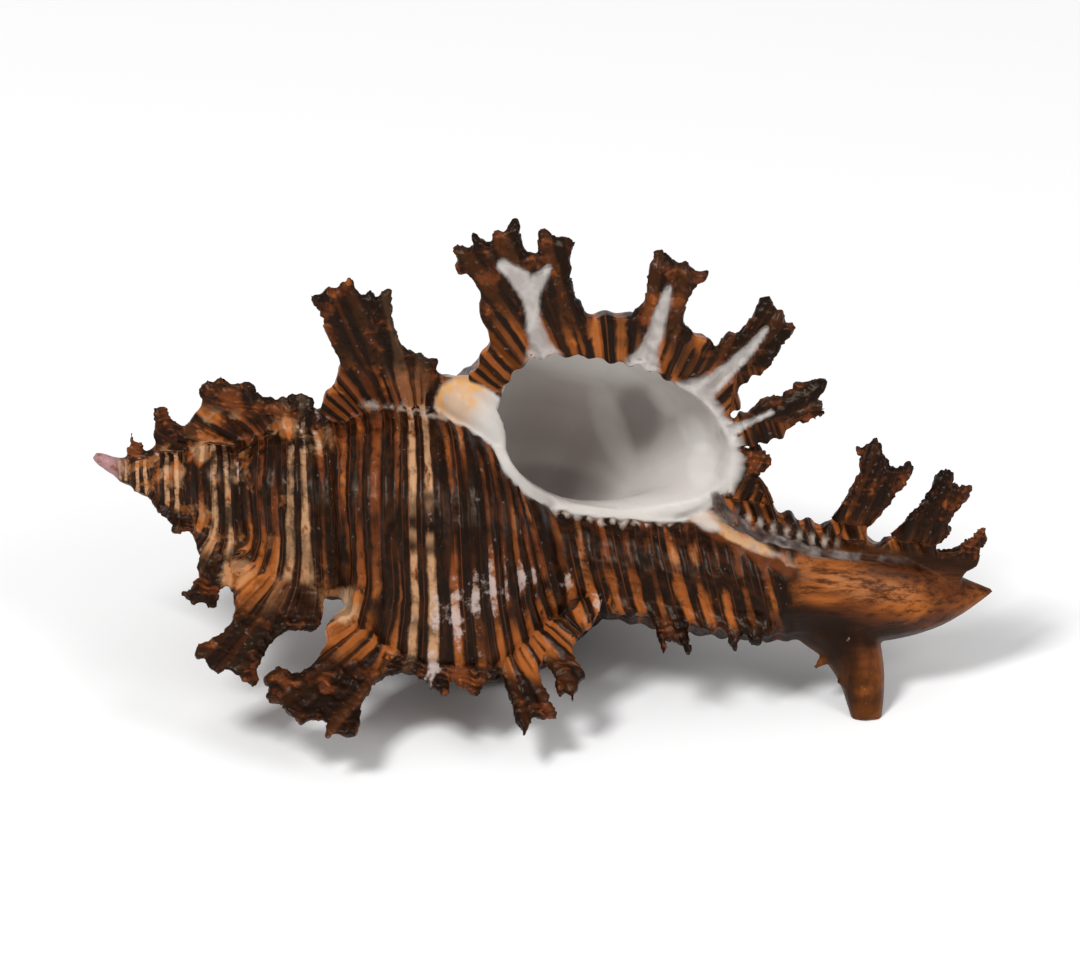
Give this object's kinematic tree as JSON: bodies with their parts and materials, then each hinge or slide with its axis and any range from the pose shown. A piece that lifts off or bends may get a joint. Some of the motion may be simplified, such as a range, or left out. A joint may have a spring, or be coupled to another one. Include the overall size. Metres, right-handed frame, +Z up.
{
  "type": "murex shell",
  "caption": "Spiral sea shell with leafy fronds on its varices, a round white aperture and a long tapering canal; a collected shell for display.",
  "frame": {"origin": "middle of the shell's bounding box, on the surface it rests on", "axes": "+X along the length, from the spire to the canal; +Z up as it rests, lip uppermost; -Y is the side the aperture faces"},
  "size_m": [0.0904, 0.0518, 0.0489],
  "materials": {
    "shell": "satin"
  },
  "bodies": {
    "root": {"shell": "shell"}
  },
  "joints": []
}
